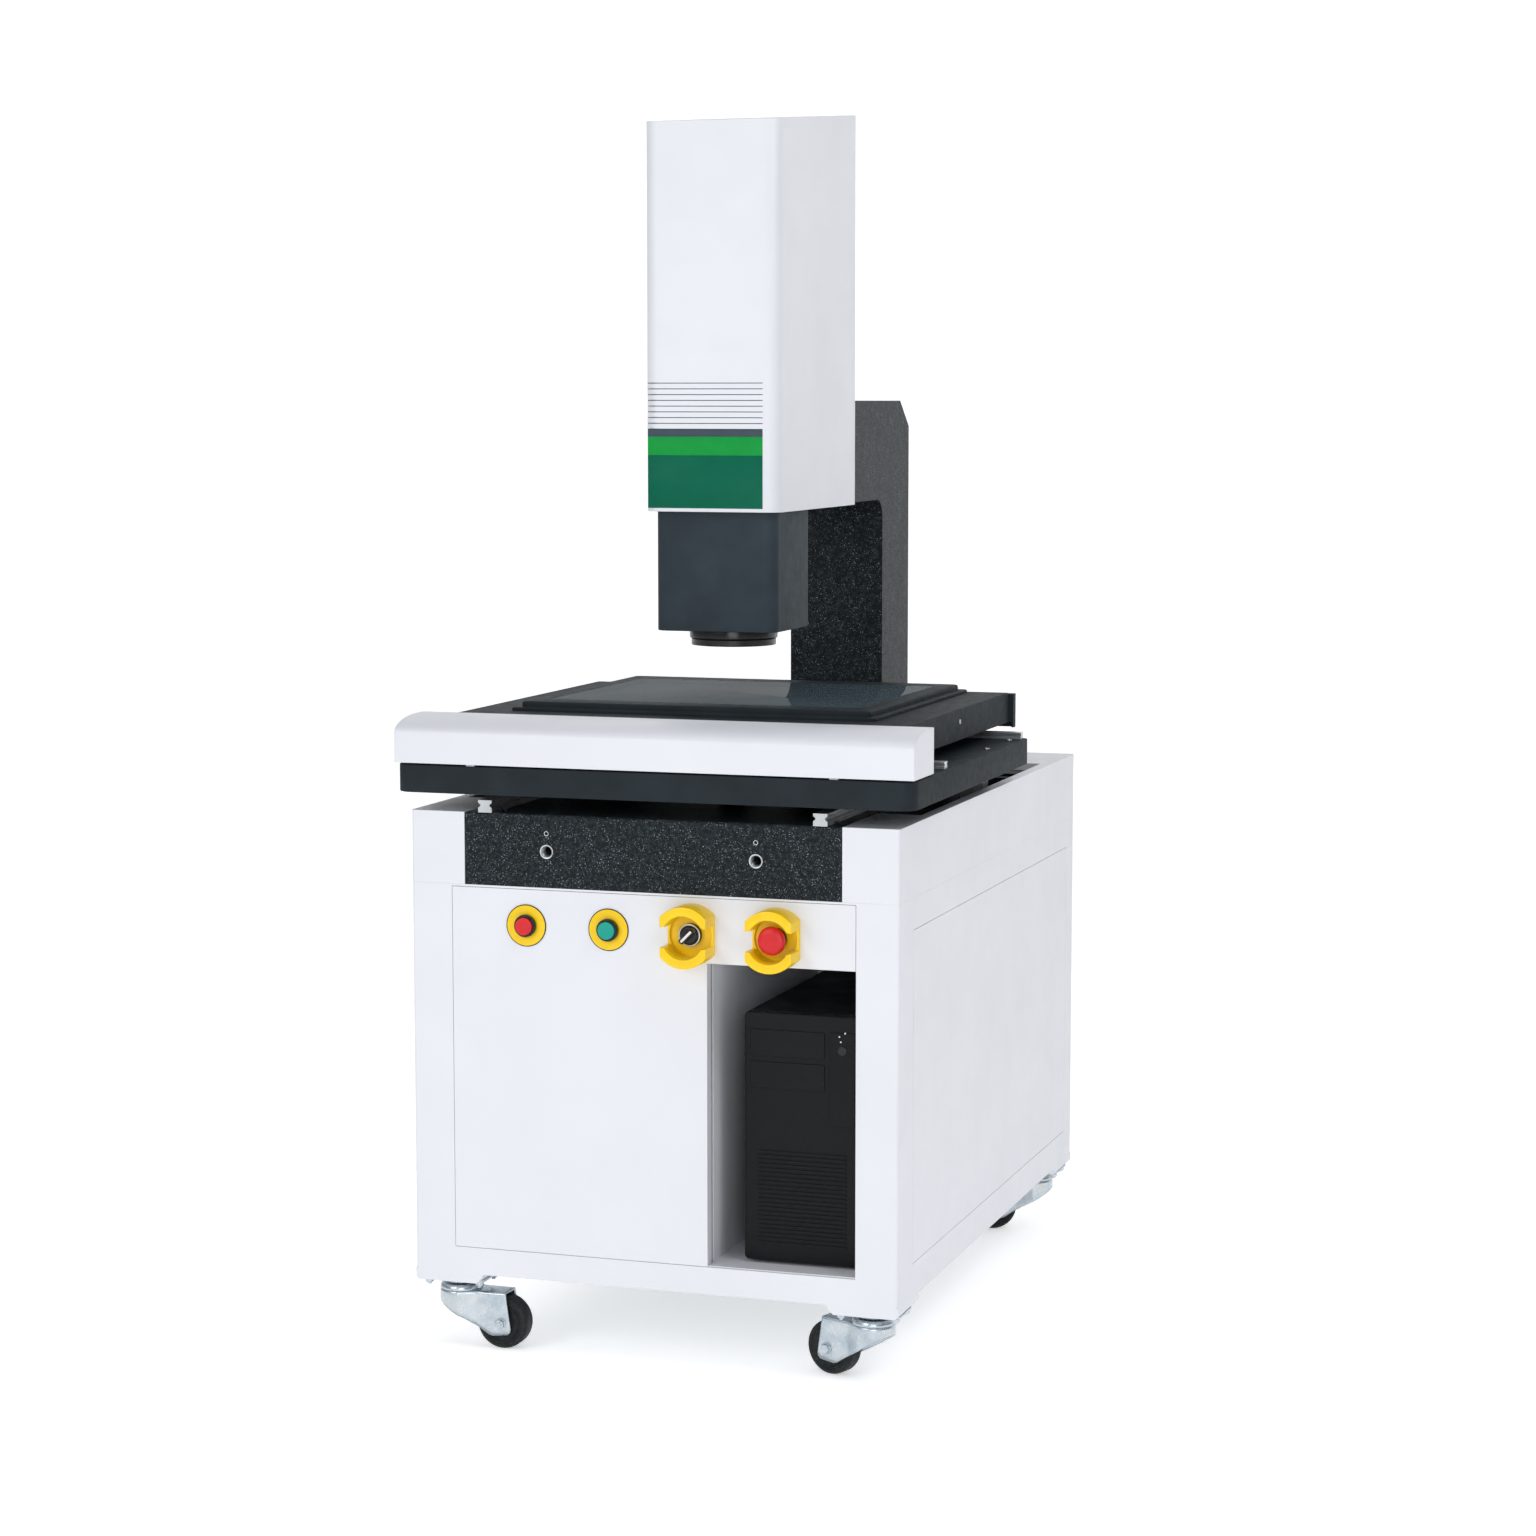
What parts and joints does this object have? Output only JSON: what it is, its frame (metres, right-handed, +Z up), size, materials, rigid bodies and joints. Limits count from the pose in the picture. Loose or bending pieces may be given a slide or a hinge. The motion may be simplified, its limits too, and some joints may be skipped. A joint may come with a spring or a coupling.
{
  "type": "vision measuring machine",
  "caption": "Vision measuring machine: granite base and column on a wheeled white cabinet, glass stage on cross slides, and a vertical camera head with ring light.",
  "frame": {"origin": "on the floor, under the centre of the machine's whole footprint", "axes": "+Z up, -Y towards the operator and the front panel, +X to the operator's right"},
  "size_m": [0.742, 1.04, 1.7379],
  "materials": {
    "white_enamel": "fine powder coat, satin",
    "frame_steel": "fine powder coat, satin",
    "bare_steel": "galvanised sheet",
    "granite": "black granite, lapped",
    "black_anodised": "black anodised, fine matt",
    "black_paint": "black, satin",
    "ground_steel": "ground and polished",
    "zinc_plate": "bright blue zinc plate",
    "bare_aluminium": "machined",
    "black_rubber": "moulded, matt",
    "stage_glass": "ground plate glass",
    "black_plastic": "moulded, satin",
    "yellow_plastic": "moulded, gloss",
    "red_plastic": "moulded, gloss",
    "green_plastic": "moulded, gloss"
  },
  "bodies": {
    "base": {"cabinet_frame": "frame_steel", "front_panel": "white_enamel", "computer_bay": "white_enamel", "left_side_panel": "white_enamel", "right_side_panel": "white_enamel", "rear_panel": "white_enamel", "power_inlet": "black_plastic", "cabinet_floor": "bare_steel", "granite_supports": "frame_steel", "computer_case": "black_paint", "computer_front": "black_plastic", "caster_tops": "zinc_plate", "granite_base": "granite", "granite_inserts": "ground_steel", "granite_column": "granite", "left_surround": "white_enamel", "right_surround": "white_enamel", "y_rails": "ground_steel", "y_drive": "black_paint", "backlight": "black_paint", "head_cover": "white_enamel", "z_base_plate": "bare_aluminium", "z_rails": "ground_steel", "z_drive": "black_paint", "legend_plates": "yellow_plastic", "switch_guards": "yellow_plastic", "switch_bodies": "black_plastic"},
    "saddle": {"saddle": "black_anodised", "y_carriages": "ground_steel", "y_nut_bracket": "bare_aluminium", "front_bar": "white_enamel", "x_rails": "ground_steel", "x_drive": "black_paint"},
    "table": {"x_table": "black_anodised", "x_carriages": "ground_steel", "x_nut_bracket": "bare_aluminium", "table_end_plate": "black_anodised", "glass_frame": "black_anodised", "stage_glass": "stage_glass"},
    "head": {"z_carriage": "bare_aluminium", "lens_cover": "black_anodised", "ring_light": "black_paint", "zoom_lens": "black_paint", "camera": "black_paint"},
    "y_screw": {"y_screw": "ground_steel"},
    "x_screw": {"x_screw": "ground_steel"},
    "z_screw": {"z_screw": "ground_steel"},
    "power_off_button": {"power_off_button": "red_plastic"},
    "power_on_button": {"power_on_button": "green_plastic"},
    "selector": {"selector_knob": "black_plastic"},
    "estop_plunger": {"estop_plunger": "black_plastic"},
    "estop_cap": {"estop_cap": "red_plastic"},
    "fork_fl": {"caster_fork_fl": "zinc_plate"},
    "wheel_fl": {"caster_wheel_fl": "black_rubber"},
    "fork_fr": {"caster_fork_fr": "zinc_plate"},
    "wheel_fr": {"caster_wheel_fr": "black_rubber"},
    "fork_br": {"caster_fork_br": "zinc_plate"},
    "wheel_br": {"caster_wheel_br": "black_rubber"},
    "fork_bl": {"caster_fork_bl": "zinc_plate"},
    "wheel_bl": {"caster_wheel_bl": "black_rubber"}
  },
  "joints": [
    {"name": "y_slide", "type": "slide", "parent": "base", "child": "saddle", "axis": [0, 1, 0], "range_m": [-0.2, 0.1]},
    {"name": "x_slide", "type": "slide", "parent": "saddle", "child": "table", "axis": [1, 0, 0], "range_m": [-0.2, 0.2]},
    {"name": "z_slide", "type": "slide", "parent": "base", "child": "head", "axis": [0, 0, 1], "range_m": [-0.06, 0.14]},
    {"name": "y_screw_turn", "type": "hinge", "parent": "base", "child": "y_screw", "pos_m": [0.302, 0, 0.725], "axis": [0, 1, 0], "range_deg": [-7220, 3620]},
    {"name": "x_screw_turn", "type": "hinge", "parent": "saddle", "child": "x_screw", "pos_m": [0, 0.157, 0.812], "axis": [1, 0, 0], "range_deg": [-7220, 7220]},
    {"name": "z_screw_turn", "type": "hinge", "parent": "base", "child": "z_screw", "pos_m": [0, 0.032, 1.3], "axis": [0, 0, 1], "range_deg": [-2180, 5060]},
    {"name": "power_off_press", "type": "slide", "parent": "base", "child": "power_off_button", "axis": [0, 1, 0], "range_m": [0, 0.004], "stiffness_N_per_m": 500, "springref_m": -0.002},
    {"name": "power_on_press", "type": "slide", "parent": "base", "child": "power_on_button", "axis": [0, 1, 0], "range_m": [0, 0.004], "stiffness_N_per_m": 500, "springref_m": -0.002},
    {"name": "selector_turn", "type": "hinge", "parent": "base", "child": "selector", "pos_m": [0.06, -0.48, 0.607], "axis": [0, -1, 0], "range_deg": [0, 90]},
    {"name": "estop_press", "type": "slide", "parent": "base", "child": "estop_plunger", "axis": [0, 1, 0], "range_m": [0, 0.006]},
    {"name": "estop_twist", "type": "hinge", "parent": "estop_plunger", "child": "estop_cap", "pos_m": [0.18, -0.48, 0.607], "axis": [0, -1, 0], "range_deg": [-45, 0], "stiffness_Nm_per_rad": 0.05},
    {"name": "swivel_fl", "type": "hinge", "parent": "base", "child": "fork_fl", "pos_m": [-0.302, -0.432, 0.09], "axis": [0, 0, 1], "continuous": true},
    {"name": "roll_fl", "type": "hinge", "parent": "fork_fl", "child": "wheel_fl", "pos_m": [-0.236, -0.432, 0.0375], "axis": [0, 1, 0], "continuous": true},
    {"name": "swivel_fr", "type": "hinge", "parent": "base", "child": "fork_fr", "pos_m": [0.302, -0.432, 0.09], "axis": [0, 0, 1], "continuous": true},
    {"name": "roll_fr", "type": "hinge", "parent": "fork_fr", "child": "wheel_fr", "pos_m": [0.23998, -0.40943, 0.0375], "axis": [-0.342, -0.9397, 0], "continuous": true},
    {"name": "swivel_br", "type": "hinge", "parent": "base", "child": "fork_br", "pos_m": [0.302, 0.472, 0.09], "axis": [0, 0, 1], "continuous": true},
    {"name": "roll_br", "type": "hinge", "parent": "fork_br", "child": "wheel_br", "pos_m": [0.23923, 0.4516, 0.0375], "axis": [0.309, -0.9511, 0], "continuous": true},
    {"name": "swivel_bl", "type": "hinge", "parent": "base", "child": "fork_bl", "pos_m": [-0.302, 0.472, 0.09], "axis": [0, 0, 1], "continuous": true},
    {"name": "roll_bl", "type": "hinge", "parent": "fork_bl", "child": "wheel_bl", "pos_m": [-0.23744, 0.45828, 0.0375], "axis": [0.2079, 0.9781, 0], "continuous": true}
  ],
  "couplings": [
    {"joint": "y_screw_turn", "follows": "y_slide", "rad_per_m": 628.32},
    {"joint": "x_screw_turn", "follows": "x_slide", "rad_per_m": 628.32},
    {"joint": "z_screw_turn", "follows": "z_slide", "rad_per_m": 628.32}
  ]
}
